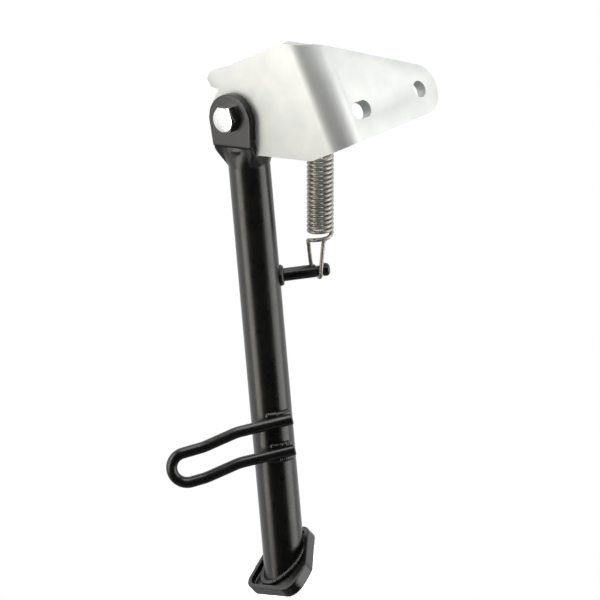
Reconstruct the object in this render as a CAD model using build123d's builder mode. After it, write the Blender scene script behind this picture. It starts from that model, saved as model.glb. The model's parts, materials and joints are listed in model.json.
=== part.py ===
from build123d import *
import math
import os

os.makedirs("parts", exist_ok=True)

# Side stand for a small motorcycle or scooter, folded.  Millimetres.
# Origin: centre of the round mounting hole, on the mounting face.
# +X leaves the mounting face, +Y runs back along the flange, +Z is up along the bend.

# ---- Bracket ----
plate_thickness = 6.0
bend_radius = 13.5            # outside of the bend
pivot_to_flange = 64.7        # pivot axis to mounting face
pivot_above_hole = 20.9
flange_reach = 69.9           # plate's front face to the round hole
hole_diameter = 9.0
hole_spacing = 48.0
slot_width = 9.3
slot_length = 14.8
end_radius = 13.6             # flange end, round the hole
plate_top = 25.6              # above the pivot axis
plate_bottom = 36.7           # below the pivot axis
top_edge_slope = 0.45
top_edge_end = 49.2           # level part of the top edge, from the pivot axis
boss_radius = 16.0
lug_reach = 9.1               # stop lug, beyond the pivot axis
lug_tip = (-9.1, -23.5)       # lug's corners, right of and below the pivot axis
lug_crown = (-5.5, -26.6)
lug_shoulder = (4.0, -25.6)
lug_under = (-8.2, -18.8)
lug_notch = (-4.5, -14.6, -16.6)
lug_round = 1.8
flange_top_rise = 4.0         # flange's top line above the pivot end's, at the bend
flange_top_ease = 0.4

# ---- Pivot ----
bolt_diameter = 8.0
bolt_head_flats = 13.0
bolt_head_height = 5.3
bolt_face_radius = 6.8
head_chamfer = 60.0           # degrees, from the bolt's axis
running_clearance = 0.05
bush_outer_diameter = 11.0
press_clearance = 0.01
side_clearance = 0.25         # each side of the plate, in the fork
washer_diameter = 16.0
washer_thickness = 1.6
nut_height = 6.5
nut_collar_height = 1.7
nut_collar_ease = 0.4
insert_width = 1.3
insert_recess = 0.3
bolt_tail = 1.5
bolt_end_chamfer = 0.8
washer_play = 0.2
thread_clearance = 0.02

# ---- Leg ----
lean = 21.3                   # leg folded, from the bend axis, degrees
ear_radius = 14.0
ear_drop = 1.5                # ear arc's centre, below the pivot axis
front_ear = 4.7
rear_ear = 7.0
rest_edge = 20.0              # pivot axis to the plate's rest edge
stop_clearance = 0.3
pad_length = 15.5             # flat ear face, down from the pivot axis
pad_step = 1.4                # neck's front, behind the ear face
neck_corner_radius = 3.0
fork_length = 27.5
fork_neck_half_width = 12.8
tube_diameter = 22.0
tube_wall = 2.0
tube_offset = 4.85            # tube axis behind the plate's middle
spigot_length = 14.0
spigot_clearance = 0.15

# ---- Foot ----
foot_down = 245.0             # pivot axis to the foot plate, along the tube
foot_thickness = 3.0
foot_rim_height = 3.2
foot_rim_width = 2.6
foot_side_tilt = -12.6        # degrees, about the leg's fore-and-aft line
foot_front_tilt = 36.7        # degrees, towards the front
foot_weld_height = 2.6
foot_weld_width = 2.2
foot_drawn_for = 22.0         # tube that the outline was drawn for
foot_fit = tube_diameter / foot_drawn_for
foot_left = 17.3 * foot_fit   # outline about the tube's axis, in the foot's own plane
foot_right = 23.4 * foot_fit
foot_toe = 22.4 * foot_fit
foot_heel = 21.5 * foot_fit
foot_toe_slope = 3.6
foot_side = 18.0
foot_heel_bevel = 16.0
foot_heel_cut = (7.0, 12.0)
foot_corner_radius = 8.0

# ---- Kick loop ----
rod_diameter = 6.0
loop_down = 165.1             # pivot axis to the upper arm, at the tube
loop_spacing = 16.7
loop_reach = 54.7             # tube side to the centre of the loop's end
loop_tail = 11.0              # arms past the middle of the tube
loop_heading = 41.0           # degrees, loop plane from the leg's side plane
loop_seat = 0.02
loop_shoulder = (19.0, 3.0)   # where the arms turn down, then level out
loop_knee = (37.0, 9.4)
loop_end_drop = 13.0
loop_bend_radius = 28.0
loop_end_ease = 0.05
bead_width = 3.0              # beads beside the loop's arms
bead_height = 2.6
bead_round = 1.6
bead_share = 0.8              # of the arm's tail
bead_past = 2.0
bead_sink = 0.6
upper_bead_gap = 1.4
lower_bead_gap = -0.4

# ---- Springs and posts ----
post_down = 89.2
post_heading = 50.6           # degrees, from the leg's side towards the back
post_diameter = 7.0
neck_diameter = 5.0
neck_length = 3.6
neck_out = 32.6               # tube axis to the middle of the neck
head_length = 3.2
head_round = 1.8
anchor_right = 23.9           # from the pivot axis
anchor_below = 19.8
weld_width = 3.0
weld_height = 3.4
weld_sink = 1.5
weld_knee = (1.0, 0.8)
weld_toe = 0.2
post_seat = 0.02
wire_diameter = 2.0
spring_diameter = 14.3
coil_length = 46.0
lower_hook_length = 19.8      # neck to the first coil
hook_gap = 0.35               # hook wire to the neck
hook_seat = 0.05
hook_splay = 1.6
hook_waist = 0.45
hook_bend = 4.0
hook_ease = 0.02

# ---- Places worked out from the sizes ----
plate_front = -flange_reach
plate_middle = plate_front + plate_thickness / 2
pivot_x = -pivot_to_flange
pivot_z = pivot_above_hole
slot_half = plate_thickness / 2 + side_clearance
ear_face = -slot_half - front_ear
ear_back = slot_half + rear_ear
web_down = rest_edge + stop_clearance
tube_radius = tube_diameter / 2
tube_bore_radius = tube_radius - tube_wall
rod_radius = rod_diameter / 2
bolt_radius = bolt_diameter / 2

side = Vector(math.cos(math.radians(lean)), 0, -math.sin(math.radians(lean)))
back = Vector(0, 1, 0)
down = Vector(-math.sin(math.radians(lean)), 0, -math.cos(math.radians(lean)))
pivot = Vector(pivot_x, plate_middle, pivot_z)


def leg_point(sideways, backwards, downwards):
    """A point given from the pivot, in the leg's own directions."""
    return pivot + side * sideways + back * backwards + down * downwards


def leg_face(backwards):
    """Side-on plane of the leg: x to its side, y down it, normal to the back."""
    return Plane(leg_point(0, backwards, 0), x_dir=side, z_dir=back)


def leg_section(downwards):
    """Cross-section of the leg about the tube's axis, normal up the leg."""
    return Plane(leg_point(0, tube_offset, downwards), x_dir=side, z_dir=-down)


def side_view(backwards):
    """Upright plane through the pivot: x to the right, y down, normal to the back."""
    return Plane(pivot + back * backwards, x_dir=(1, 0, 0), z_dir=back)


def tangent_point(start, centre, radius, turn):
    """Where a straight edge from start meets a round end; turn is +1 or -1."""
    run = centre - start
    swing = turn * math.degrees(math.asin(radius / run.length))
    reach = math.sqrt(run.length**2 - radius**2)
    return start + run.normalized().rotate(Axis.Z, swing) * reach


# ---- Mounting plate: one bent plate, pivot end and mounting flange ----
section_low = -plate_bottom + pivot_z - 1
flange_low = pivot_z - plate_bottom
flange_high = pivot_z + plate_top - top_edge_slope * (pivot_to_flange - top_edge_end) + flange_top_rise
plate_left = pivot_x - boss_radius
bend_inner = bend_radius - plate_thickness
bend_y = plate_front + bend_radius
rest_start = down * rest_edge
rest_corner = rest_start + side * ((plate_bottom - rest_edge * math.cos(math.radians(lean)))
                                   / math.sin(math.radians(lean)))

with BuildPart() as mounting_plate:
    with BuildSketch(Plane.XY.offset(section_low)):
        with BuildLine():
            outer_run = Line((plate_left, plate_front), (-bend_radius, plate_front))
            outer_bend = RadiusArc(outer_run @ 1, (0, bend_y), -bend_radius)
            flange_out = Line(outer_bend @ 1, (0, end_radius))
            flange_tip = Line(flange_out @ 1, (-plate_thickness, end_radius))
            flange_in = Line(flange_tip @ 1, (-plate_thickness, bend_y))
            inner_bend = RadiusArc(flange_in @ 1, (-bend_radius, plate_front + plate_thickness),
                                   bend_inner)
            inner_run = Line(inner_bend @ 1, (plate_left, plate_front + plate_thickness))
            Line(inner_run @ 1, outer_run @ 0)
        make_face()
    extrude(amount=pivot_z + plate_top + lug_reach - section_low)
    # Outline of the pivot end, seen from the front (x to the right, y down).
    with BuildSketch(side_view(0)):
        with BuildLine():
            Polyline(
                lug_tip,
                lug_crown,
                lug_shoulder,
                (top_edge_end, -plate_top),
                (pivot_to_flange, -plate_top + top_edge_slope * (pivot_to_flange - top_edge_end)),
                (pivot_to_flange, plate_bottom),
                (rest_corner.X, plate_bottom),
                (rest_start.X, -rest_start.Z),
                (-boss_radius, 0),
                (lug_notch[0], lug_notch[1]),
                (lug_notch[0], lug_notch[2]),
                lug_under,
                close=True,
            )
        make_face()
        fillet(vertices().group_by(Axis.X)[0], lug_round)
        Circle(boss_radius)
    extrude(amount=bend_radius + flange_reach * 2, both=True, mode=Mode.INTERSECT)
    # Outline of the flange, seen from its face (x to the back, y up).
    flange_centre = Vector(0, 0)
    flange_top = Vector(plate_front, flange_high - flange_top_ease)
    flange_foot = Vector(plate_front, flange_low)
    top_touch = tangent_point(flange_top, flange_centre, end_radius, 1)
    foot_touch = tangent_point(flange_foot, flange_centre, end_radius, -1)
    with BuildSketch(Plane.YZ):
        with BuildLine():
            top_edge = Line(flange_top, top_touch)
            end_arc = ThreePointArc(top_touch, Vector(end_radius, 0), foot_touch)
            foot_edge = Line(foot_touch, flange_foot)
            Line(flange_foot, flange_top)
        make_face()
        with Locations((plate_middle, pivot_z)):
            Rectangle(plate_thickness, 4 * plate_bottom)
    extrude(amount=2 * pivot_to_flange, both=True, mode=Mode.INTERSECT)
    with BuildSketch(Plane.YZ):
        Circle(hole_diameter / 2)
        with Locations((-hole_spacing, 0)):
            SlotOverall(slot_length, slot_width)
    extrude(amount=-2 * bend_radius, mode=Mode.SUBTRACT)
    with BuildSketch(side_view(0)):
        Circle(bush_outer_diameter / 2 + press_clearance)
    extrude(amount=bend_radius, both=True, mode=Mode.SUBTRACT)
mounting_plate.part.label = "mounting_plate"
export_step(mounting_plate.part, "parts/mounting_plate.step")

# ---- Pivot bush, pressed into the plate ----
with BuildPart() as pivot_bush:
    with BuildSketch(side_view(-slot_half + side_clearance / 2)):
        Circle(bush_outer_diameter / 2)
        Circle(bolt_radius + running_clearance, mode=Mode.SUBTRACT)
    extrude(amount=plate_thickness + side_clearance)
pivot_bush.part.label = "pivot_bush"
export_step(pivot_bush.part, "parts/pivot_bush.step")

# ---- Fork: forged end of the leg, two ears round the plate ----
with BuildPart() as fork:
    with BuildSketch(leg_face(ear_face)):
        with Locations((0, ear_drop)):
            Circle(ear_radius)
        Polygon(
            (-ear_radius, ear_drop),
            (ear_radius, ear_drop),
            (fork_neck_half_width, pad_length),
            (-fork_neck_half_width, pad_length),
            align=None,
        )
    extrude(amount=ear_back - ear_face)
    body_front = ear_face + pad_step
    body_back = tube_offset + tube_radius
    body_top = Plane(leg_point(0, (body_front + body_back) / 2, pad_length), x_dir=side, z_dir=-down)
    with BuildSketch(body_top):
        RectangleRounded(2 * fork_neck_half_width, body_back - body_front, neck_corner_radius)
    with BuildSketch(leg_section(fork_length)):
        Circle(tube_radius)
    loft()
    with BuildSketch(leg_section(fork_length)):
        Circle(tube_bore_radius - spigot_clearance)
    extrude(amount=-spigot_length)
    with BuildSketch(leg_face(-slot_half)):
        with Locations((0, web_down - 2 * ear_radius)):
            Rectangle(4 * ear_radius, 4 * ear_radius)
    extrude(amount=2 * slot_half, mode=Mode.SUBTRACT)
    with BuildSketch(leg_face(ear_face)):
        Circle(bolt_radius + running_clearance)
    extrude(amount=ear_back - ear_face, mode=Mode.SUBTRACT)
fork.part.label = "fork"
export_step(fork.part, "parts/fork.step")

# ---- Leg tube, cut square to the foot plate ----
foot_centre = leg_point(0, tube_offset, foot_down)
foot_normal = (-down).rotate(Axis((0, 0, 0), back), foot_side_tilt)
foot_normal = foot_normal.rotate(Axis((0, 0, 0), side), foot_front_tilt)
foot_plane = Plane(foot_centre, x_dir=side.cross(foot_normal).cross(-foot_normal), z_dir=foot_normal)

with BuildPart() as leg_tube:
    with BuildSketch(leg_section(fork_length)):
        Circle(tube_radius)
        Circle(tube_bore_radius, mode=Mode.SUBTRACT)
    extrude(amount=-(foot_down - fork_length + 2 * tube_diameter))
    with BuildSketch(foot_plane):
        Rectangle(8 * tube_diameter, 8 * tube_diameter)
    extrude(amount=-4 * tube_diameter, mode=Mode.SUBTRACT)
leg_tube.part.label = "leg_tube"
export_step(leg_tube.part, "parts/leg_tube.step")

# ---- Foot plate: dished pressing, set across the tube's end ----
with BuildPart() as foot_plate:
    with BuildSketch(foot_plane) as foot_outline:
        Polygon(
            (-foot_left, -foot_toe + foot_toe_slope),
            (foot_right, -foot_toe),
            (foot_right, -foot_toe + foot_side),
            (foot_right - foot_heel_bevel, foot_heel),
            (-foot_left + foot_heel_cut[0], foot_heel),
            (-foot_left, foot_heel - foot_heel_cut[1]),
            align=None,
        )
        fillet(vertices(), foot_corner_radius)
    extrude(amount=-foot_thickness)
    with BuildSketch(foot_plane):
        add(foot_outline.sketch_local)
        offset(amount=-foot_rim_width, mode=Mode.SUBTRACT)
    extrude(amount=foot_rim_height)
foot_plate.part.label = "foot_plate"
export_step(foot_plate.part, "parts/foot_plate.step")

# ---- Weld round the tube's foot ----
with BuildPart() as foot_weld:
    with BuildSketch(leg_section(foot_down - 2 * tube_diameter)):
        Circle(tube_radius + foot_weld_width)
        Circle(tube_radius, mode=Mode.SUBTRACT)
    extrude(amount=-4 * tube_diameter)
    with BuildSketch(foot_plane):
        Rectangle(4 * tube_diameter, 4 * tube_diameter)
    extrude(amount=foot_weld_height, mode=Mode.INTERSECT)
    add(foot_plate.part, mode=Mode.SUBTRACT)
foot_weld.part.label = "foot_weld"
export_step(foot_weld.part, "parts/foot_weld.step")

# ---- Kick loop: one bent rod, laid across the tube and welded ----
heading = math.radians(loop_heading)
loop_out = side * math.sin(heading) - back * math.cos(heading)
loop_along = -side * math.cos(heading) - back * math.sin(heading)
seat = tube_radius + rod_radius + loop_seat
loop_origin = leg_point(0, tube_offset, loop_down) + loop_out * seat
loop_plane = Plane(loop_origin, x_dir=loop_along, z_dir=loop_along.cross(down))
tail_drop = -loop_tail * loop_shoulder[1] / loop_shoulder[0]
arm_points = [
    (-loop_tail, tail_drop),
    loop_shoulder,
    loop_knee,
    (loop_reach, loop_end_drop),
]
return_points = [(along, drop + loop_spacing) for along, drop in reversed(arm_points)]
end_radius_inside = loop_spacing / 2 - loop_end_ease

with BuildPart() as kick_loop:
    with BuildLine(loop_plane) as loop_route:
        FilletPolyline(
            *arm_points,
            *return_points,
            radius=[loop_bend_radius, loop_bend_radius, end_radius_inside,
                    end_radius_inside, loop_bend_radius, loop_bend_radius],
        )
    loop_wire = loop_route.wires()[0]
    with BuildSketch(Plane(loop_wire @ 0, z_dir=loop_wire % 0)):
        Circle(rod_radius)
    sweep(path=loop_wire)
kick_loop.part.label = "kick_loop"
export_step(kick_loop.part, "parts/kick_loop.step")


def loop_weld(drop, name):
    """Bead in the corner between an arm of the loop and the tube."""
    tail_end = loop_origin - loop_along * loop_tail * bead_share
    start = tail_end + down * drop - loop_out * (rod_radius + bead_sink)
    with BuildPart() as bead:
        with BuildSketch(Plane(start, x_dir=down, z_dir=loop_along)):
            Ellipse(bead_width, bead_height)
        extrude(amount=loop_tail * bead_share + bead_past)
        fillet(bead.edges(), bead_round)
        with BuildSketch(leg_section(loop_down + 3 * loop_spacing)):
            Circle(tube_radius)
        extrude(amount=6 * loop_spacing, mode=Mode.SUBTRACT)
        add(kick_loop.part, mode=Mode.SUBTRACT)
    bead.part.label = name
    export_step(bead.part, f"parts/{name}.step")


loop_weld(-rod_radius - upper_bead_gap, "loop_weld_upper")
loop_weld(loop_spacing + rod_radius + lower_bead_gap, "loop_weld_lower")

# ---- Spring post: turned pin, welded to the tube ----
post_angle = math.radians(post_heading)
post_out = side * math.cos(post_angle) + back * math.sin(post_angle)
post_foot = leg_point(0, tube_offset, post_down)
post_up = Plane(post_foot, x_dir=post_out, z_dir=post_out.cross(-down))
neck_start = neck_out - neck_length / 2
neck_end = neck_out + neck_length / 2
neck_shoulder = (post_diameter - neck_diameter) / 2


def turned_pin(plane, foot, start, end, name):
    """Pin with a groove for a spring hook and a rounded head, along the plane's x."""
    radius = post_diameter / 2
    groove = neck_diameter / 2
    with BuildPart() as pin:
        with BuildSketch(plane):
            with BuildLine():
                shank = Line((foot, 0), (foot, radius))
                barrel = Line(shank @ 1, (start - neck_shoulder, radius))
                slope = Line(barrel @ 1, (start, groove))
                neck = Line(slope @ 1, (end - neck_shoulder, groove))
                lip = Line(neck @ 1, (end, radius))
                rim = Line(lip @ 1, (end + head_length, radius))
                top = Line(rim @ 1, (end + head_length, 0))
                Line(top @ 1, shank @ 0)
            make_face()
        revolve(axis=Axis(plane.origin, plane.x_dir))
        crown = pin.faces().sort_by(Axis(plane.origin, plane.x_dir))[-1]
        fillet(crown.edges(), head_round)
    pin.part.label = name
    export_step(pin.part, f"parts/{name}.step")
    return pin.part


def weld_collar(plane, foot, name, *cutters):
    """Sloping weld bead round the foot of a pin."""
    radius = post_diameter / 2
    with BuildPart() as collar:
        with BuildSketch(plane):
            with BuildLine():
                Polyline(
                    (foot - weld_sink, radius),
                    (foot + weld_height, radius),
                    (foot + weld_knee[0], radius + weld_width - weld_knee[1]),
                    (foot - weld_toe, radius + weld_width),
                    (foot - weld_sink, radius + weld_width),
                    close=True,
                )
            make_face()
        revolve(axis=Axis(plane.origin, plane.x_dir))
        for cutter in cutters:
            add(cutter, mode=Mode.SUBTRACT)
    collar.part.label = name
    export_step(collar.part, f"parts/{name}.step")


turned_pin(post_up, tube_radius + post_seat, neck_start, neck_end, "spring_post")
with BuildPart() as tube_room:
    with BuildSketch(leg_section(foot_down)):
        Circle(tube_radius)
    extrude(amount=foot_down)
weld_collar(post_up, tube_radius, "post_weld", tube_room.part)

# ---- Spring anchor: the same pin, welded to the back of the plate ----
post_neck = post_foot + post_out * neck_out
spring_y = post_neck.Y
anchor_foot = pivot + Vector(anchor_right, plate_thickness / 2, -anchor_below)
anchor_up = Plane(anchor_foot, x_dir=back, z_dir=(1, 0, 0))
anchor_neck_out = spring_y - anchor_foot.Y
anchor_start = anchor_neck_out - neck_length / 2
anchor_end = anchor_neck_out + neck_length / 2
turned_pin(anchor_up, 0, anchor_start, anchor_end, "spring_anchor")
with BuildPart() as plate_room:
    with BuildSketch(Plane(anchor_foot, x_dir=(1, 0, 0), z_dir=back)):
        Circle(2 * post_diameter)
    extrude(amount=-plate_thickness)
weld_collar(anchor_up, 0, "anchor_weld", plate_room.part)

# ---- Pivot bolt, washer and lock nut ----
clamp_length = ear_back - ear_face
nut_face = ear_back + washer_thickness

with BuildPart() as pivot_bolt:
    with BuildSketch(side_view(ear_face)):
        RegularPolygon(bolt_head_flats / 2, 6, major_radius=False, rotation=lean)
    extrude(amount=-bolt_head_height)
    with BuildSketch(side_view(ear_face - bolt_head_height)):
        Circle(bolt_face_radius)
    extrude(amount=bolt_head_height, taper=-head_chamfer, mode=Mode.INTERSECT)
    with BuildSketch(side_view(ear_face)):
        Circle(bolt_radius)
    extrude(amount=clamp_length + washer_thickness + nut_height + nut_collar_height + bolt_tail)
    chamfer(pivot_bolt.faces().sort_by(Axis.Y)[-1].edges(), bolt_end_chamfer)
pivot_bolt.part.label = "pivot_bolt"
export_step(pivot_bolt.part, "parts/pivot_bolt.step")

with BuildPart() as pivot_washer:
    with BuildSketch(side_view(ear_back)):
        Circle(washer_diameter / 2)
        Circle(bolt_radius + washer_play, mode=Mode.SUBTRACT)
    extrude(amount=washer_thickness)
pivot_washer.part.label = "pivot_washer"
export_step(pivot_washer.part, "parts/pivot_washer.step")

with BuildPart() as pivot_nut:
    with BuildSketch(side_view(nut_face)):
        RegularPolygon(bolt_head_flats / 2, 6, major_radius=False, rotation=lean)
        Circle(bolt_radius + thread_clearance, mode=Mode.SUBTRACT)
    extrude(amount=nut_height)
    with BuildSketch(side_view(nut_face + nut_height)):
        Circle(bolt_head_flats / 2 - nut_collar_ease)
        Circle(bolt_radius + insert_width, mode=Mode.SUBTRACT)
    extrude(amount=nut_collar_height)
pivot_nut.part.label = "pivot_nut"
export_step(pivot_nut.part, "parts/pivot_nut.step")

with BuildPart() as nut_insert:
    with BuildSketch(side_view(nut_face + nut_height)):
        Circle(bolt_radius + insert_width - thread_clearance)
        Circle(bolt_radius + thread_clearance, mode=Mode.SUBTRACT)
    extrude(amount=nut_collar_height - insert_recess)
nut_insert.part.label = "nut_insert"
export_step(nut_insert.part, "parts/nut_insert.step")

# ---- Return spring: close coils, an upper hook and a lower hook ----
anchor_neck = anchor_foot + back * anchor_neck_out
spring_line = (post_neck - anchor_neck).normalized()
spring_length = (post_neck - anchor_neck).length
upper_hook_length = spring_length - coil_length - lower_hook_length
coil_radius = (spring_diameter - wire_diameter) / 2
hook_radius = neck_diameter / 2 + hook_gap + wire_diameter / 2
coil_top = anchor_neck + spring_line * upper_hook_length
coil_foot = coil_top + spring_line * coil_length

with BuildPart() as spring_coil:
    with BuildSketch(Plane(coil_top, x_dir=back, z_dir=spring_line)):
        Circle(spring_diameter / 2)
        Circle(spring_diameter / 2 - wire_diameter, mode=Mode.SUBTRACT)
    extrude(amount=coil_length)
spring_coil.part.label = "spring_coil"
export_step(spring_coil.part, "parts/spring_coil.step")


def hook(neck, axis, away, from_coil, name):
    """Wire hook: from both sides of the coil's end, round the far side of a neck."""
    across = axis.cross(away).normalized()
    room = from_coil - wire_diameter / 2 - hook_seat
    plane = Plane(neck, x_dir=across, z_dir=across.cross(away))
    with BuildPart() as bent_wire:
        with BuildLine(plane) as route:
            FilletPolyline(
                (-hook_radius - hook_splay, -room),
                (-hook_radius, -room * hook_waist),
                (-hook_radius, hook_radius),
                (hook_radius, hook_radius),
                (hook_radius, -room * hook_waist),
                (coil_radius, -room),
                radius=[hook_bend, hook_radius - hook_ease, hook_radius - hook_ease, hook_bend],
            )
        wire = route.wires()[0]
        with BuildSketch(Plane(wire @ 0, z_dir=wire % 0)):
            Circle(wire_diameter / 2)
        sweep(path=wire)
    bent_wire.part.label = name
    export_step(bent_wire.part, f"parts/{name}.step")


hook(anchor_neck, back, -spring_line, upper_hook_length, "upper_hook")
hook(post_neck, post_out, spring_line, lower_hook_length, "lower_hook")
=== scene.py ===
"""Kickstand: bent zinc-plated mounting plate, black painted leg with fork, foot and
kick loop, pivot bolt, and a return spring between two pins. Metres, Z up."""

import json
import math

import bmesh
import bpy
from mathutils import Matrix, Vector


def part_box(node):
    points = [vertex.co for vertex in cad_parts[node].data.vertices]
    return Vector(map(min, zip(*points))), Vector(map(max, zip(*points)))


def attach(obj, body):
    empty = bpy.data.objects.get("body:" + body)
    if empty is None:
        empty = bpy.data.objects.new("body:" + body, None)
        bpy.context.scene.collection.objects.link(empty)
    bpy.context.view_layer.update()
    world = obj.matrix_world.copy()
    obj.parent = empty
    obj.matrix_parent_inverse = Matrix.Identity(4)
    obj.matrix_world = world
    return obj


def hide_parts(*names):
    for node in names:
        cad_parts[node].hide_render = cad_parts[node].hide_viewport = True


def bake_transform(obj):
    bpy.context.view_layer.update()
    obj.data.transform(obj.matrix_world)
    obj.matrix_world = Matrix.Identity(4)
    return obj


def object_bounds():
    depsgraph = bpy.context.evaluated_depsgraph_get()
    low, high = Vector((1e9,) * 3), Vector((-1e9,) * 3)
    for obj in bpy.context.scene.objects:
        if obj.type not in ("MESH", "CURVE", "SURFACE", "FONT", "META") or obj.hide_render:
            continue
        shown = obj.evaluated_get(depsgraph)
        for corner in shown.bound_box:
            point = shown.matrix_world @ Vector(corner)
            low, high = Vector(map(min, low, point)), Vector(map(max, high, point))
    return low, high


MM = 0.001

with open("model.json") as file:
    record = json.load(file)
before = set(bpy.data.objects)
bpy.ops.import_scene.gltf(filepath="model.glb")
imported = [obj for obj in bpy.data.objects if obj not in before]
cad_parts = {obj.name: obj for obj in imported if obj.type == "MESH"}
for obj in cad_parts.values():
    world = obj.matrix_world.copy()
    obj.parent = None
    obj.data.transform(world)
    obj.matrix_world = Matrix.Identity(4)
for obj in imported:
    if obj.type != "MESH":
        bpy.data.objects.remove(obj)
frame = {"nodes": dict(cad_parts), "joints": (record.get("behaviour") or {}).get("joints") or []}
cad_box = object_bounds()
joints = {joint["name"]: joint for joint in frame["joints"]}


# ---- Places, from the record ----
pivot = Vector(joints["leg_swing"]["pos_m"])
anchor_neck = Vector(joints["spring_turn"]["pos_m"])
spring_line = Vector(joints["spring_stretch"]["axis"]).normalized()
LEAN = math.radians(21.3)
TUBE_BACK = 4.85              # tube's axis behind the pivot's middle plane
FORK_LENGTH = 27.5
TUBE_RADIUS = 11.0
FOOT_DOWN = 245.0
SLOT_HALF = 3.25              # half the gap between the ears
WEB_DOWN = 20.3               # pivot to the bottom of that gap
PAST_EARS = 30                # beyond the ears on every side
ROD_RADIUS = 3.0
LOOP_SPACING = 16.7
LOOP_DOWN = 165.1             # pivot to the loop's upper arm
POST_DOWN = 89.2
PIN_NECK_RADIUS = 2.5
FACE_RADIUS = 6.25            # bolt head's round face
FACE_CONE = 1.4
BOLT_REACH = 60               # longer than the whole bolt
side = Vector((math.cos(LEAN), 0.0, -math.sin(LEAN)))
down = Vector((-math.sin(LEAN), 0.0, -math.cos(LEAN)))
back = Vector((0.0, 1.0, 0.0))


def leg_point(sideways, backwards, downwards):
    """A point in millimetres from the pivot, in the leg's own directions."""
    return pivot + (side * sideways + back * backwards + down * downwards) * MM


# ---- Colour and nodes ----
def colour(code, alpha=1.0):
    """An sRGB hex value as linear RGBA."""
    parts = [int(code[i:i + 2], 16) / 255 for i in (1, 3, 5)]
    linear = [c / 12.92 if c <= 0.04045 else ((c + 0.055) / 1.055) ** 2.4 for c in parts]
    return (*linear, alpha)


def add_node(tree, kind, settings=None, values=None, links=None):
    """A new node with its settings, its input values and the links into it."""
    node = tree.nodes.new(kind)
    for key, value in (settings or {}).items():
        setattr(node, key, value)
    for key, value in (values or {}).items():
        node.inputs[key].default_value = value
    for key, source in (links or {}).items():
        tree.links.new(source, node.inputs[key])
    return node


def new_finish(name):
    """An empty material and its node tree, output and surface shader."""
    material = bpy.data.materials.new(name)
    material.use_nodes = True
    tree = material.node_tree
    tree.nodes.clear()
    shader = add_node(tree, "ShaderNodeBsdfPrincipled")
    add_node(tree, "ShaderNodeOutputMaterial", links={"Surface": shader.outputs["BSDF"]})
    place = add_node(tree, "ShaderNodeTexCoord").outputs["Object"]
    return material, tree, shader, place


def noise(tree, place, size_mm, detail=2.0, rough=0.5, stretch=(1, 1, 1)):
    """Noise whose grain is about size_mm across, drawn out along the axes by stretch."""
    scaled = add_node(tree, "ShaderNodeMapping", links={"Vector": place})
    scaled.inputs["Scale"].default_value = [1 / (size_mm * MM * s) for s in stretch]
    return add_node(tree, "ShaderNodeTexNoise", {"noise_dimensions": "3D"},
                    {"Scale": 1.0, "Detail": detail, "Roughness": rough},
                    {"Vector": scaled.outputs["Vector"]}).outputs["Fac"]


def to_range(tree, value, low, high, from_low=0.3, from_high=0.7):
    """A noise value spread over low to high."""
    return add_node(tree, "ShaderNodeMapRange", {"clamp": True},
                    {"From Min": from_low, "From Max": from_high, "To Min": low, "To Max": high},
                    {"Value": value}).outputs["Result"]


def mixed(tree, factor, first, second):
    """One colour turning to another by a factor."""
    node = add_node(tree, "ShaderNodeMix", {"data_type": "RGBA"}, links={"Factor": factor})
    node.inputs[6].default_value = first
    node.inputs[7].default_value = second
    return node.outputs[2]


def bump(tree, height, depth_mm, strength=1.0):
    """A bump whose full height is depth_mm."""
    return add_node(tree, "ShaderNodeBump", None, {"Strength": strength, "Distance": depth_mm * MM},
                    {"Height": height}).outputs["Normal"]


def make_plate_zinc():
    """Bright zinc plating on pressed and barrelled mild steel: pale, slightly milky metal
    with a satin blur, faint cloudy patches and a very fine grain."""
    material, tree, shader, place = new_finish("bright_zinc_on_pressed_steel")
    clouds = noise(tree, place, 14, detail=3)
    grain = noise(tree, place, 0.7, detail=3, rough=0.6)
    tint = mixed(tree, to_range(tree, clouds, 0, 1), colour("#BFC2C1"), colour("#CBCCCA"))
    tree.links.new(tint, shader.inputs["Base Color"])
    tree.links.new(to_range(tree, grain, 0.46, 0.53), shader.inputs["Roughness"])
    tree.links.new(bump(tree, grain, 0.006), shader.inputs["Normal"])
    shader.inputs["Metallic"].default_value = 0.8
    return material


def make_fastener_zinc():
    """Bright zinc plating on cold-headed steel: smoother and more mirror-like."""
    material, tree, shader, place = new_finish("bright_zinc_on_cold_headed_steel")
    specks = noise(tree, place, 1.2, detail=3)
    tint = mixed(tree, to_range(tree, specks, 0, 1), colour("#E2E4E4"), colour("#F2F2F0"))
    tree.links.new(tint, shader.inputs["Base Color"])
    tree.links.new(to_range(tree, specks, 0.16, 0.24), shader.inputs["Roughness"])
    tree.links.new(bump(tree, specks, 0.004), shader.inputs["Normal"])
    shader.inputs["Metallic"].default_value = 1.0
    return material


def make_black_paint():
    """Sprayed black enamel on steel: deep warm black under a gloss film that has a slight
    orange-peel waviness and a few duller, dusty patches."""
    material, tree, shader, place = new_finish("sprayed_black_enamel")
    peel = noise(tree, place, 1.6, detail=1.5)
    patches = noise(tree, place, 9, detail=4, rough=0.6)
    tint = mixed(tree, to_range(tree, patches, 0, 1), colour("#060606"), colour("#0C0B0A"))
    tree.links.new(tint, shader.inputs["Base Color"])
    tree.links.new(to_range(tree, patches, 0.25, 0.34), shader.inputs["Roughness"])
    tree.links.new(bump(tree, peel, 0.012), shader.inputs["Normal"])
    shader.inputs["IOR"].default_value = 1.6
    return material


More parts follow.
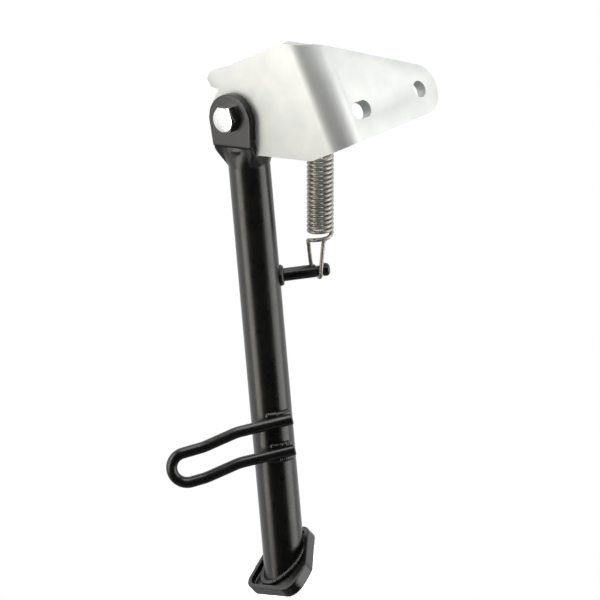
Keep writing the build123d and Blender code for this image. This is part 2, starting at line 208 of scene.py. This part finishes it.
def make_spring_steel():
    """Hard-drawn spring wire with a thin grey plating: warm mid-grey metal with
    darker grime in the grain."""
    material, tree, shader, place = new_finish("plated_hard_drawn_spring_wire")
    grime = noise(tree, place, 1.5, detail=4, rough=0.6)
    tint = mixed(tree, to_range(tree, grime, 0, 1), colour("#8C8880"), colour("#C6C2B9"))
    tree.links.new(tint, shader.inputs["Base Color"])
    tree.links.new(to_range(tree, grime, 0.38, 0.50), shader.inputs["Roughness"])
    tree.links.new(bump(tree, grime, 0.01), shader.inputs["Normal"])
    shader.inputs["Metallic"].default_value = 0.9
    return material


def make_bush_steel():
    """Turned and oiled steel bush: darker bare metal with fine rings."""
    material, tree, shader, place = new_finish("oiled_turned_steel")
    rings = noise(tree, place, 0.5, detail=2, stretch=(4, 1, 4))
    tint = mixed(tree, to_range(tree, rings, 0, 1), colour("#77736C"), colour("#9A968E"))
    tree.links.new(tint, shader.inputs["Base Color"])
    tree.links.new(to_range(tree, rings, 0.28, 0.42), shader.inputs["Roughness"])
    shader.inputs["Metallic"].default_value = 1.0
    return material


def make_nylon():
    """Natural nylon locking ring: milky off-white, waxy, slightly see-through."""
    material, tree, shader, place = new_finish("natural_nylon")
    waxy = noise(tree, place, 1.0, detail=2)
    tint = mixed(tree, to_range(tree, waxy, 0, 1), colour("#D9D5C8"), colour("#E8E5DA"))
    tree.links.new(tint, shader.inputs["Base Color"])
    tree.links.new(to_range(tree, waxy, 0.40, 0.50), shader.inputs["Roughness"])
    shader.inputs["IOR"].default_value = 1.53
    shader.inputs["Subsurface Weight"].default_value = 0.15
    shader.inputs["Subsurface Scale"].default_value = 0.8 * MM
    return material


plate_zinc = make_plate_zinc()
fastener_zinc = make_fastener_zinc()
black_paint = make_black_paint()
spring_steel = make_spring_steel()
bush_steel = make_bush_steel()
nylon = make_nylon()


# ---- Making pieces ----
def new_piece(name, mesh, finish, body, replaced):
    """A finished piece at the origin, riding on its body."""
    piece = bpy.data.objects.new(name, mesh)
    bpy.context.scene.collection.objects.link(piece)
    mesh.materials.clear()
    mesh.materials.append(finish)
    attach(piece, body)
    if replaced:
        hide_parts(*replaced)
    return piece


def applied(piece_object):
    """The object's evaluated mesh as a plain mesh; the object is removed."""
    bpy.context.view_layer.update()
    graph = bpy.context.evaluated_depsgraph_get()
    mesh = bpy.data.meshes.new_from_object(piece_object.evaluated_get(graph))
    bpy.data.objects.remove(piece_object)
    return mesh


def loose_copy(node):
    """A merged copy of a CAD node's mesh in a temporary object."""
    mesh = frame["nodes"][node].data.copy()
    shape = bmesh.new()
    shape.from_mesh(mesh)
    bmesh.ops.remove_doubles(shape, verts=shape.verts, dist=0.002 * MM)
    bmesh.ops.dissolve_limit(shape, angle_limit=math.radians(0.6), verts=shape.verts,
                             edges=shape.edges)
    shape.to_mesh(mesh)
    shape.free()
    temporary = bpy.data.objects.new("finishing_" + node, mesh)
    bpy.context.scene.collection.objects.link(temporary)
    return temporary


def head_cone(face_radius, cone_mm):
    """A turned blank that trims a bolt head's corners to a cone, as a temporary object."""
    low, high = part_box("pivot_bolt")
    shape = bmesh.new()
    turned(shape, Vector((pivot.x, low[1] - 0.01 * MM, pivot.z)), back,
           [(0, face_radius), (cone_mm, face_radius + cone_mm),
            (BOLT_REACH, face_radius + cone_mm)])
    bmesh.ops.recalc_face_normals(shape, faces=shape.faces)
    mesh = bpy.data.meshes.new("head_cone")
    shape.to_mesh(mesh)
    shape.free()
    cone = bpy.data.objects.new("head_cone", mesh)
    bpy.context.scene.collection.objects.link(cone)
    return cone


def bevelled(node, width_mm, segments=3, angle=30, trim=None):
    """The node's shape with its sharp edges eased, as tumbling and plating leave them."""
    blank = loose_copy(node)
    if trim:
        cut = blank.modifiers.new("trim", "BOOLEAN")
        cut.operation = "INTERSECT"
        cut.object = trim
    easing = blank.modifiers.new("easing", "BEVEL")
    easing.width = width_mm * MM
    easing.segments = segments
    easing.limit_method = "ANGLE"
    easing.angle_limit = math.radians(angle)
    easing.use_clamp_overlap = True
    mesh = applied(blank)
    if trim:
        bpy.data.objects.remove(trim)
    mesh.shade_smooth()
    mesh.set_sharp_from_angle(angle=math.radians(40))
    return mesh


def turned(shape, top, line, profile, segments=96):
    """Adds a closed turned shape to a bmesh; profile is (distance along line, radius) in mm."""
    across = line.orthogonal().normalized()
    level = line.cross(across)
    rings = []
    for along, radius in profile:
        ring = []
        for i in range(segments):
            turn = math.tau * i / segments
            spoke = across * math.cos(turn) + level * math.sin(turn)
            ring.append(shape.verts.new(top + (line * along + spoke * radius) * MM))
        rings.append(ring)
    for first, second in zip(rings, rings[1:]):
        for i in range(segments):
            j = (i + 1) % segments
            shape.faces.new((first[i], first[j], second[j], second[i]))
    shape.faces.new(list(reversed(rings[0])))
    shape.faces.new(rings[-1])


# forged shoulder's upper corners: sideways, backwards and down from the pivot, in mm
SHOULDER_TOP = [(13.2, -7.1, 14.9), (13.0, 10.1, 14.9), (13.0, -6.7, 17.8), (12.7, 10.1, 17.8),
                (8.0, -6.7, 15.2), (8.0, 10.1, 15.2)]
SHOULDER_RADIUS = TUBE_RADIUS - 0.1
SHOULDER_SWEEP = 50           # degrees of the tube's side that it meets, each way
SHOULDER_STEPS = 8


def shoulder(shape, hand):
    """Adds the forged web between one side of the ears and the tube, to a bmesh."""
    ends = list(SHOULDER_TOP)
    for i in range(SHOULDER_STEPS + 1):
        turn = math.radians(-SHOULDER_SWEEP + 2 * SHOULDER_SWEEP * i / SHOULDER_STEPS)
        ends.append((SHOULDER_RADIUS * math.cos(turn),
                     TUBE_BACK + SHOULDER_RADIUS * math.sin(turn), FORK_LENGTH - 0.1))
    corners = [shape.verts.new(leg_point(hand * out, deep, low)) for out, deep, low in ends]
    made = bmesh.ops.convex_hull(shape, input=corners)
    spare = [item for item in made["geom_interior"] if isinstance(item, bmesh.types.BMVert)]
    bmesh.ops.delete(shape, geom=spare, context="VERTS")


def slot_block():
    """The space between the ears that the plate turns in, as a temporary object."""
    shape = bmesh.new()
    corners = [shape.verts.new(leg_point(out, deep, low)) for out in (-PAST_EARS, PAST_EARS)
               for deep in (-SLOT_HALF, SLOT_HALF) for low in (-PAST_EARS, WEB_DOWN)]
    bmesh.ops.convex_hull(shape, input=corners)
    bmesh.ops.recalc_face_normals(shape, faces=shape.faces)
    mesh = bpy.data.meshes.new("slot_block")
    shape.to_mesh(mesh)
    shape.free()
    block = bpy.data.objects.new("slot_block", mesh)
    bpy.context.scene.collection.objects.link(block)
    return block


def skinned(blank, name, voxel_mm):
    """Adds a voxel skin over everything on a blank."""
    skin = blank.modifiers.new(name, "REMESH")
    skin.mode = "VOXEL"
    skin.voxel_size = voxel_mm * MM


def melted(node, voxel_mm, rounds, collar=None):
    """The node's shape, with its edges softened as forging or pressing and thick paint
    leave them. With a collar, the fork's turned collar and its shoulders are joined on."""
    blank = loose_copy(node)
    block = None
    if collar:
        shape = bmesh.new()
        shape.from_mesh(blank.data)
        turned(shape, *collar)
        shoulder(shape, -1)
        shoulder(shape, 1)
        bmesh.ops.recalc_face_normals(shape, faces=shape.faces)
        shape.to_mesh(blank.data)
        shape.free()
    skinned(blank, "skin", voxel_mm)
    if collar:
        block = slot_block()
        cut = blank.modifiers.new("cut", "BOOLEAN")
        cut.operation = "DIFFERENCE"
        cut.object = block
        skinned(blank, "again", voxel_mm)
    soften = blank.modifiers.new("soften", "SMOOTH")
    soften.factor = 0.5
    soften.iterations = rounds
    mesh = applied(blank)
    if block:
        bpy.data.objects.remove(block)
    mesh.shade_smooth()
    return mesh


# ---- Geometry Nodes: wire along a path ----
def path_object(name, points, closed=False):
    """A poly path through points, for a node tree to follow."""
    route = bpy.data.curves.new(name, "CURVE")
    route.dimensions = "3D"
    spline = route.splines.new("POLY")
    spline.points.add(len(points) - 1)
    for place, point in zip(spline.points, points):
        place.co = (*point, 1.0)
    spline.use_cyclic_u = closed
    holder = bpy.data.objects.new(name, route)
    bpy.context.scene.collection.objects.link(holder)
    return holder


def new_tree(name, inputs):
    """An empty geometry tree with named inputs."""
    tree = bpy.data.node_groups.new(name, "GeometryNodeTree")
    tree.interface.new_socket("Geometry", in_out="INPUT", socket_type="NodeSocketGeometry")
    for label, kind in inputs:
        tree.interface.new_socket(label, in_out="INPUT", socket_type=kind)
    tree.interface.new_socket("Geometry", in_out="OUTPUT", socket_type="NodeSocketGeometry")
    return tree, add_node(tree, "NodeGroupInput").outputs


def grown(holder, tree, values):
    """The plain mesh that a tree makes on a holder, with its inputs set by identifier."""
    growth = holder.modifiers.new("growth", "NODES")
    growth.node_group = tree
    for item in tree.interface.items_tree:
        if item.item_type == "SOCKET" and item.in_out == "INPUT" and item.name in values:
            growth[item.identifier] = values[item.name]
    return applied(holder)


def wire_tree():
    """Round wire of a given radius swept along a path, with its ends closed."""
    tree, given = new_tree("wire_along_path", [("Wire radius", "NodeSocketFloat"),
                                               ("Sides", "NodeSocketInt"),
                                               ("Finish", "NodeSocketMaterial")])
    ring = add_node(tree, "GeometryNodeCurvePrimitiveCircle",
                    links={"Resolution": given["Sides"], "Radius": given["Wire radius"]})
    swept = add_node(tree, "GeometryNodeCurveToMesh", None, {"Fill Caps": True},
                     {"Curve": given["Geometry"], "Profile Curve": ring.outputs["Curve"]})
    smooth = add_node(tree, "GeometryNodeSetShadeSmooth",
                      links={"Geometry": swept.outputs["Mesh"]})
    real = add_node(tree, "GeometryNodeRealizeInstances",
                    links={"Geometry": smooth.outputs["Geometry"]})
    done = add_node(tree, "GeometryNodeSetMaterial",
                    links={"Geometry": real.outputs["Geometry"], "Material": given["Finish"]})
    add_node(tree, "NodeGroupOutput", links={"Geometry": done.outputs["Geometry"]})
    return tree


def bead_tree():
    """Weld bead: a row of flattened, overlapping ripples along a path."""
    tree, given = new_tree("weld_ripples", [("Ripple spacing", "NodeSocketFloat"),
                                            ("Bead radius", "NodeSocketFloat"),
                                            ("Wobble", "NodeSocketFloat"),
                                            ("Seed", "NodeSocketInt"),
                                            ("Finish", "NodeSocketMaterial")])
    points = add_node(tree, "GeometryNodeCurveToPoints", {"mode": "LENGTH"},
                      links={"Curve": given["Geometry"], "Length": given["Ripple spacing"]})
    drop = add_node(tree, "GeometryNodeMeshIcoSphere", None, {"Subdivisions": 3},
                    {"Radius": given["Bead radius"]})
    low = add_node(tree, "ShaderNodeMath", {"operation": "SUBTRACT"}, {0: 1.0},
                   {1: given["Wobble"]})
    high = add_node(tree, "ShaderNodeMath", {"operation": "ADD"}, {0: 1.0}, {1: given["Wobble"]})
    size = add_node(tree, "FunctionNodeRandomValue", {"data_type": "FLOAT"},
                    links={2: low.outputs[0], 3: high.outputs[0], "Seed": given["Seed"]})
    ripples = add_node(tree, "GeometryNodeInstanceOnPoints",
                       links={"Points": points.outputs["Points"],
                              "Instance": drop.outputs["Mesh"],
                              "Rotation": points.outputs["Rotation"],
                              "Scale": size.outputs[1]})
    real = add_node(tree, "GeometryNodeRealizeInstances",
                    links={"Geometry": ripples.outputs["Instances"]})
    smooth = add_node(tree, "GeometryNodeSetShadeSmooth",
                      links={"Geometry": real.outputs["Geometry"]})
    done = add_node(tree, "GeometryNodeSetMaterial",
                    links={"Geometry": smooth.outputs["Geometry"], "Material": given["Finish"]})
    add_node(tree, "NodeGroupOutput", links={"Geometry": done.outputs["Geometry"]})
    return tree


wire_sweep = wire_tree()
weld_ripples = bead_tree()


# ---- Pressed, forged and turned pieces, on the frame's own shapes ----
new_piece("mounting_plate_zinc", bevelled("mounting_plate", 0.5, 4), plate_zinc, "bracket",
          ["mounting_plate"])
new_piece("pivot_bolt_head", bevelled("pivot_bolt", 0.2, trim=head_cone(FACE_RADIUS, FACE_CONE)),
          fastener_zinc, "leg",
          ["pivot_bolt"])
new_piece("pivot_washer_flat", bevelled("pivot_washer", 0.25), fastener_zinc, "leg",
          ["pivot_washer"])
new_piece("pivot_lock_nut", bevelled("pivot_nut", 0.3), fastener_zinc, "leg",
          ["pivot_nut"])
fork_collar = (leg_point(0, TUBE_BACK, 0), down,
               [(17.1, 11.7), (17.5, 12.2), (18.3, 12.0), (19.8, 11.5), (22.0, 11.15),
                (26.5, 11.0), (FORK_LENGTH, 10.97), (FORK_LENGTH + 5, 10.95)])
new_piece("fork_forging", melted("fork", 0.4, 6, fork_collar), black_paint, "leg",
          ["fork"])
new_piece("foot_pressing", melted("foot_plate", 0.4, 5), black_paint, "leg",
          ["foot_plate"])

new_piece("spring_post_pin", bevelled("spring_post", 0.2), black_paint, "leg",
          ["spring_post"])
new_piece("spring_anchor_pin", bevelled("spring_anchor", 0.2), plate_zinc, "bracket",
          ["spring_anchor"])


def foot_plane_drop(place):
    """How far down the leg, in metres, the foot plate's upper face lies below a point."""
    return (foot_centre - place).dot(foot_normal) / down.dot(foot_normal)


def leg_tube_mesh(segments=128, wall=2.0):
    """Drawn tube with an eased top edge, cut across at the foot plate."""
    shape = bmesh.new()
    rows = [(TUBE_RADIUS - wall, None), (TUBE_RADIUS - wall, 0.0), (TUBE_RADIUS - 0.4, 0.0),
            (TUBE_RADIUS - 0.1, 0.1), (TUBE_RADIUS, 0.4), (TUBE_RADIUS, None)]
    rings = []
    for radius, drop in rows:
        ring = []
        for i in range(segments):
            turn = math.tau * i / segments
            spoke = (side * math.cos(turn) + back * math.sin(turn)) * radius
            place = leg_point(0, TUBE_BACK, FORK_LENGTH) + spoke * MM
            place += down * (foot_plane_drop(place) if drop is None else drop * MM)
            ring.append(shape.verts.new(place))
        rings.append(ring)
    for first, second in zip(rings, rings[1:] + rings[:1]):
        for i in range(segments):
            j = (i + 1) % segments
            shape.faces.new((first[i], first[j], second[j], second[i]))
    bmesh.ops.recalc_face_normals(shape, faces=shape.faces)
    mesh = bpy.data.meshes.new("leg_tube_drawn")
    shape.to_mesh(mesh)
    shape.free()
    mesh.shade_smooth()
    mesh.set_sharp_from_angle(angle=math.radians(50))
    return mesh


foot_centre = leg_point(0, TUBE_BACK, FOOT_DOWN)
foot_normal = Vector((0.08099, -0.583232, 0.808258)).normalized()    # foot plate's upper face
new_piece("leg_tube_drawn", leg_tube_mesh(), black_paint, "leg", ["leg_tube"])


# ---- Kick loop: bent rod with rounded ends ----
HEADING = math.radians(41.0)    # loop's direction, round the tube
loop_out = side * math.sin(HEADING) - back * math.cos(HEADING)
loop_along = -side * math.cos(HEADING) - back * math.sin(HEADING)
loop_origin = (leg_point(0, TUBE_BACK, LOOP_DOWN)
               + loop_out * (TUBE_RADIUS + ROD_RADIUS + 0.02) * MM)
LOOP_ARM = [(-11.0, -1.737), (19.0, 3.0), (37.0, 9.4), (54.7, 13.0)]
LOOP_BEND = 28.0
ROD_RUN = 1.5                 # longest side of the swept rod


def rounded_route(corners, radii, steps=14):
    """Points along a run of straights with an arc of a given radius at each inner corner."""
    route = [corners[0]]
    for before, corner, after, radius in zip(corners, corners[1:], corners[2:], radii):
        to_before = (before - corner).normalized()
        to_after = (after - corner).normalized()
        half = to_before.angle(to_after) / 2
        reach = radius / math.tan(half)
        hub = corner + (to_before + to_after).normalized() * radius / math.sin(half)
        first = corner + to_before * reach - hub
        last = corner + to_after * reach - hub
        swing = first.angle(last)
        for i in range(steps + 1):
            t = i / steps
            spoke = first * math.sin((1 - t) * swing) + last * math.sin(t * swing)
            route.append(hub + spoke / math.sin(swing))
    route.append(corners[-1])
    return route


def loop_path():
    """The loop's centre line, in the loop's own plane, in place."""
    flat = [Vector((along, low, 0)) for along, low in LOOP_ARM]
    flat += [Vector((along, low + LOOP_SPACING, 0)) for along, low in reversed(LOOP_ARM)]
    end = LOOP_SPACING / 2 - 0.25
    route = rounded_route(flat, [LOOP_BEND, LOOP_BEND, end, end, LOOP_BEND, LOOP_BEND])
    return [loop_origin + (loop_along * p.x + down * p.y) * MM for p in route]


def rod_path(route):
    """Splits the straights of a route into short runs, for even sides."""
    run = [route[0]]
    for first, second in zip(route, route[1:]):
        if (second - first).length < 0.01 * MM:
            continue
        parts = max(1, round((second - first).length / (ROD_RUN * MM)))
        run += [first.lerp(second, (i + 1) / parts) for i in range(parts)]
    return run


loop_mesh = grown(path_object("loop_path", rod_path(loop_path())), wire_sweep,
                  {"Wire radius": ROD_RADIUS * MM, "Sides": 40, "Finish": black_paint})


def eased_ends(mesh, ease_mm):
    """Rounds a swept rod's cut ends, as a shear and a file leave them."""
    shape = bmesh.new()
    shape.from_mesh(mesh)
    ends = [face for face in shape.faces if len(face.verts) > 4]
    rims = [edge for face in ends for edge in face.edges]
    bmesh.ops.bevel(shape, geom=rims, offset=ease_mm * MM, segments=4, profile=0.5,
                    affect="EDGES")
    shape.to_mesh(mesh)
    shape.free()
    mesh.shade_smooth()
    return mesh


new_piece("kick_loop_rod", eased_ends(loop_mesh, 0.8), black_paint, "leg",
          ["kick_loop"])


# ---- Weld beads ----
def ring_on_tube(out, foot, radius_mm, lift_mm, count=48):
    """A closed run round a pin where it meets the tube's skin."""
    across = out.cross(down).normalized()
    level = out.cross(across).normalized()
    run = []
    for i in range(count):
        turn = math.tau * i / count
        spoke = (across * math.cos(turn) + level * math.sin(turn)) * radius_mm
        flat = spoke - down * spoke.dot(down)
        sideways = flat.dot(across)
        rise = math.sqrt(max((TUBE_RADIUS + lift_mm) ** 2 - sideways ** 2, 0.0))
        run.append(foot + (spoke + out * rise) * MM)
    return run


def weld_piece(name, runs, bead_mm, spacing_mm, finish, body, replaced, closed=True):
    """Rippled beads along some runs, as one piece."""
    shape = bmesh.new()
    for k, run in enumerate(runs):
        mesh = grown(path_object(name + "_run", run, closed), weld_ripples,
                     {"Ripple spacing": spacing_mm * MM, "Bead radius": bead_mm * MM,
                      "Wobble": 0.08, "Seed": k + 3, "Finish": finish})
        shape.from_mesh(mesh)
    mesh = bpy.data.meshes.new(name)
    shape.to_mesh(mesh)
    shape.free()
    mesh.shade_smooth()
    return new_piece(name, mesh, finish, body, replaced)


POST_HEADING = math.radians(50.6)    # spring post's direction, round the tube
post_out = side * math.cos(POST_HEADING) + back * math.sin(POST_HEADING)
weld_piece("post_weld_bead",
           [ring_on_tube(post_out, leg_point(0, TUBE_BACK, POST_DOWN), 4.0, 0.3)],
           1.7, 1.0, black_paint, "leg", ["post_weld"])


BEAD_STEPS = 12
ARM_SIDE = ROD_RADIUS + 0.6   # bead's line, beside an arm's axis


def arm_bead(drop_mm, first_mm, last_mm):
    """A run in the corner between a loop arm and the tube."""
    run = []
    depth = TUBE_RADIUS + ROD_RADIUS
    for i in range(BEAD_STEPS):
        along = first_mm + (last_mm - first_mm) * i / (BEAD_STEPS - 1)
        rise = math.sqrt(max((TUBE_RADIUS + 0.4) ** 2 - along ** 2, 1.0)) - depth
        run.append(loop_origin + (loop_along * along + down * drop_mm + loop_out * rise) * MM)
    return run


weld_piece("loop_weld_upper_bead", [arm_bead(-ARM_SIDE, -8.5, 1.5)], 1.9, 1.1,
           black_paint, "leg", ["loop_weld_upper"], closed=False)
weld_piece("loop_weld_lower_bead",
           [arm_bead(LOOP_SPACING + ARM_SIDE, -8.5, 1.5),
            arm_bead(LOOP_SPACING - ARM_SIDE, -7.5, 0.5)], 1.8, 1.1,
           black_paint, "leg", ["loop_weld_lower"], closed=False)


ABOVE_FOOT = 30               # clear of the slanted foot plate


def foot_ring(count=96, out_mm=0.6, up_mm=0.5):
    """The closed run where the tube meets the foot plate."""
    run = []
    for i in range(count):
        turn = math.tau * i / count
        spoke = (side * math.cos(turn) + back * math.sin(turn)) * (TUBE_RADIUS + out_mm)
        place = leg_point(0, TUBE_BACK, FOOT_DOWN - ABOVE_FOOT) + spoke * MM
        place += down * foot_plane_drop(place)
        run.append(place + foot_normal * up_mm * MM)
    return run


weld_piece("foot_weld_bead", [foot_ring()], 1.7, 1.2, black_paint, "leg",
           ["foot_weld"])


def anchor_ring(count=48, radius_mm=4.2):
    """The closed run where the spring's anchor meets the back of the plate."""
    low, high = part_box("anchor_weld")
    hub = Vector(((low[0] + high[0]) / 2, low[1] + 0.3 * MM, (low[2] + high[2]) / 2))
    return [hub + Vector((math.cos(math.tau * i / count), 0, math.sin(math.tau * i / count)))
            * radius_mm * MM for i in range(count)]


weld_piece("anchor_weld_bead", [anchor_ring()], 1.8, 1.1, plate_zinc, "bracket",
           ["anchor_weld"])

for node, finish in (("pivot_bush", bush_steel), ("nut_insert", nylon)):
    mesh = frame["nodes"][node].data
    mesh.materials.clear()
    mesh.materials.append(finish)


# ---- Return spring: one wire, hooked at both ends ----
WIRE_RADIUS = 1.06
COIL_RADIUS = 6.15
COIL_LENGTH = 46.0
TURNS = 17.5
TURN_STEPS = 24
UPPER_HOOK = 14.117           # neck's middle to the coil's top
HOOK_GAP = 0.1
HOOK_STEPS = 12
coil_top = anchor_neck + spring_line * UPPER_HOOK * MM
camera_way = Vector((0.682, -0.731, 0.0)).normalized()    # level, towards the camera
coil_right = camera_way.cross(spring_line).normalized()
coil_front = spring_line.cross(coil_right).normalized()
if coil_front.dot(camera_way) < 0:
    coil_front = -coil_front


def coil_point(below_top, rightwards, forwards):
    """A point in millimetres from the coil's top, in the spring's own directions."""
    return coil_top + (spring_line * below_top + coil_right * rightwards
                       + coil_front * forwards) * MM


def through(points, steps=8):
    """A smooth run of points through the given ones."""
    run = []
    for i in range(len(points) - 1):
        before = points[max(i - 1, 0)]
        first, second = points[i], points[i + 1]
        after = points[min(i + 2, len(points) - 1)]
        for j in range(steps):
            t = j / steps
            run.append(0.5 * (2 * first + (second - before) * t
                              + (2 * before - 5 * first + 4 * second - after) * t * t
                              + (3 * first - before - 3 * second + after) * t ** 3))
    run.append(points[-1])
    return run


# lower hook: below the coil's foot, rightwards and forwards, in mm
LOWER_HOOK = [(0.4, 4.6, 3.8), (1.2, 0.6, 5.6), (2.0, -4.2, 4.4), (2.8, -6.3, 1.6),
              (5.6, -6.1, -1.2), (12.0, -5.5, -3.2), (18.0, -4.7, -4.5), (22.0, -2.8, -3.4),
              (23.6, -0.8, -0.4), (22.6, 0.2, 2.6), (19.5, 0.4, 3.8), (14.0, 0.8, 3.6),
              (8.0, 1.3, 3.0), (4.4, 1.7, 2.2), (2.6, 2.6, 1.0), (2.0, 4.2, -0.6)]


def upper_hook_path(across):
    """The short hook round the anchor's neck, down to the coil."""
    hook = WIRE_RADIUS + PIN_NECK_RADIUS + HOOK_GAP
    run = [anchor_neck + (-across * hook + spring_line * 4.5) * MM]
    for i in range(HOOK_STEPS + 1):
        turn = math.pi * i / HOOK_STEPS
        run.append(anchor_neck + (-across * math.cos(turn) - spring_line * math.sin(turn))
                   * hook * MM)
    run.append(anchor_neck + (across * hook + spring_line * 4.0) * MM)
    run.append(anchor_neck + (across * (hook + 0.6) + spring_line * 8.5) * MM)
    return run


def coil_path(across):
    """The close coil, from beside the upper hook round to the lower hook's side."""
    steps = int(TURNS * TURN_STEPS)
    rise = COIL_LENGTH - 2 * WIRE_RADIUS
    start = math.atan2(across.dot(coil_front), across.dot(coil_right)) + 0.6
    finish = start + TURNS * math.tau
    sweep = round(finish / math.tau) * math.tau - start
    run = []
    for i in range(steps + 1):
        turn = start + sweep * i / steps
        run.append(coil_point(WIRE_RADIUS + rise * i / steps, COIL_RADIUS * math.cos(turn),
                              COIL_RADIUS * math.sin(turn)))
    return run


def spring_path():
    """Upper hook, coil and long lower hook, as one line."""
    across = spring_line.cross(back).normalized()
    coil = coil_path(across)
    lower = [coil_point(COIL_LENGTH + low, right, front) for low, right, front in LOWER_HOOK]
    return (through(upper_hook_path(across) + [coil[0]], 4)[:-1] + coil
            + through([coil[-1]] + lower, 6)[1:])


spring_mesh = grown(path_object("spring_path", spring_path()), wire_sweep,
                    {"Wire radius": WIRE_RADIUS * MM, "Sides": 12, "Finish": spring_steel})
return_spring = bpy.data.objects.new("return_spring_wire", spring_mesh)
bpy.context.scene.collection.objects.link(return_spring)
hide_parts("spring_coil", "upper_hook", "lower_hook")
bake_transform(return_spring)


# ---- Floor, lights and camera ----
centre = pivot + Vector((0.0006, -0.0074, -0.1016))
CAMERA_DISTANCE = 4.0
FLOOR_RADIUS = 0.75
FLOOR_GAP = 0.0002
away = Vector((0.731, 0.682, 0.0)).normalized()    # level, to the camera's right
ROLL = math.radians(20.9)
rig_right = away * math.cos(ROLL) - Vector((0, 0, 1)) * math.sin(ROLL)
rig_up = Vector((0, 0, 1)) * math.cos(ROLL) + away * math.sin(ROLL)


def lay_floor():
    """Plain pale floor just under the foot."""
    finish, tree, shader, place = new_finish("matt_white_floor")
    speck = noise(tree, place, 6, detail=2)
    tint = mixed(tree, speck, colour("#F4F4F4"), colour("#F8F8F8"))
    tree.links.new(tint, shader.inputs["Base Color"])
    shader.inputs["Roughness"].default_value = 1.0
    shader.inputs["Specular IOR Level"].default_value = 0.0
    shader.inputs["Emission Color"].default_value = (1, 1, 1, 1)
    shader.inputs["Emission Strength"].default_value = 0.6
    mesh = bpy.data.meshes.new("floor")
    shape = bmesh.new()
    bmesh.ops.create_circle(shape, cap_ends=True, segments=96, radius=FLOOR_RADIUS)
    shape.to_mesh(mesh)
    shape.free()
    mesh.transform(Matrix.Translation((centre.x, centre.y, cad_box[0][2] - FLOOR_GAP)))
    mesh.materials.append(finish)
    floor = bpy.data.objects.new("floor", mesh)
    bpy.context.scene.collection.objects.link(floor)
    floor.visible_glossy = False


def softbox(name, angle, distance, width, height, power, lift=0.0, tint="#FFFFFF"):
    """An area light at an angle in degrees to the right of the camera, facing the centre."""
    turn = math.radians(angle)
    way = camera_way * math.cos(turn) + rig_right * math.sin(turn)
    lamp = bpy.data.lights.new(name, "AREA")
    lamp.shape = "RECTANGLE"
    lamp.size = width
    lamp.size_y = height
    lamp.energy = power
    lamp.color = colour(tint)[:3]
    holder = bpy.data.objects.new(name, lamp)
    bpy.context.scene.collection.objects.link(holder)
    place = centre + way * distance + rig_up * lift
    out = (place - centre).normalized()
    level = rig_up.cross(out) if lift == 0 else rig_right
    holder.matrix_world = (Matrix.Translation(place)
                           @ Matrix((level, out.cross(level), out)).transposed().to_4x4())


def light_studio():
    """Pale backdrop behind, dim studio in front, two tall softboxes and one overhead."""
    world = bpy.data.worlds.new("studio")
    bpy.context.scene.world = world
    world.use_nodes = True
    tree = world.node_tree
    tree.nodes.clear()
    way = add_node(tree, "ShaderNodeTexCoord").outputs["Generated"]
    facing = add_node(tree, "ShaderNodeVectorMath", {"operation": "DOT_PRODUCT"},
                      {1: camera_way}, {0: way}).outputs["Value"]
    share = add_node(tree, "ShaderNodeMapRange", {"interpolation_type": "SMOOTHSTEP"},
                     {"From Min": 0.10, "From Max": 0.50, "To Min": 1.0, "To Max": 0.02},
                     {"Value": facing}).outputs["Result"]
    height = add_node(tree, "ShaderNodeVectorMath", {"operation": "DOT_PRODUCT"},
                      {1: rig_up}, {0: way}).outputs["Value"]
    below = add_node(tree, "ShaderNodeMapRange", {"interpolation_type": "SMOOTHSTEP"},
                     {"From Min": -0.75, "From Max": -0.20, "To Min": 0.2, "To Max": 1.0},
                     {"Value": height}).outputs["Result"]
    strength = add_node(tree, "ShaderNodeMath", {"operation": "MULTIPLY"},
                        links={0: share, 1: below}).outputs[0]
    studio = add_node(tree, "ShaderNodeBackground", None, {"Color": (1, 1, 1, 1)},
                      {"Strength": strength})
    plain = add_node(tree, "ShaderNodeBackground", None,
                     {"Color": (1, 1, 1, 1), "Strength": 1.0})
    seen = add_node(tree, "ShaderNodeLightPath").outputs["Is Camera Ray"]
    both = add_node(tree, "ShaderNodeMixShader", links={0: seen, 1: studio.outputs[0],
                                                        2: plain.outputs[0]})
    add_node(tree, "ShaderNodeOutputWorld", links={"Surface": both.outputs[0]})
    softbox("softbox_left", -68, 1.3, 0.66, 1.6, 11.2, tint="#FFFBF2")
    softbox("softbox_right", 77, 1.3, 1.0, 1.6, 11.6, tint="#FFFEFA")
    softbox("softbox_top", 0, 0.62, 1.3, 1.1, 15.5, lift=1.1)


def aim_camera():
    """Long lens, level with the object, turned so that the plate's top edge lies level."""
    lens = bpy.data.cameras.new("camera")
    lens.lens = 460.8
    lens.sensor_width = 36.0
    lens.clip_end = 20.0
    view = bpy.data.objects.new("camera", lens)
    bpy.context.scene.collection.objects.link(view)
    facing = Matrix((rig_right, rig_up, camera_way)).transposed()
    view.matrix_world = (Matrix.Translation(centre + camera_way * CAMERA_DISTANCE)
                         @ facing.to_4x4())
    bpy.context.scene.camera = view


lay_floor()
light_studio()
aim_camera()
bpy.context.scene.view_settings.view_transform = "Standard"
bpy.context.scene.view_settings.look = "None"
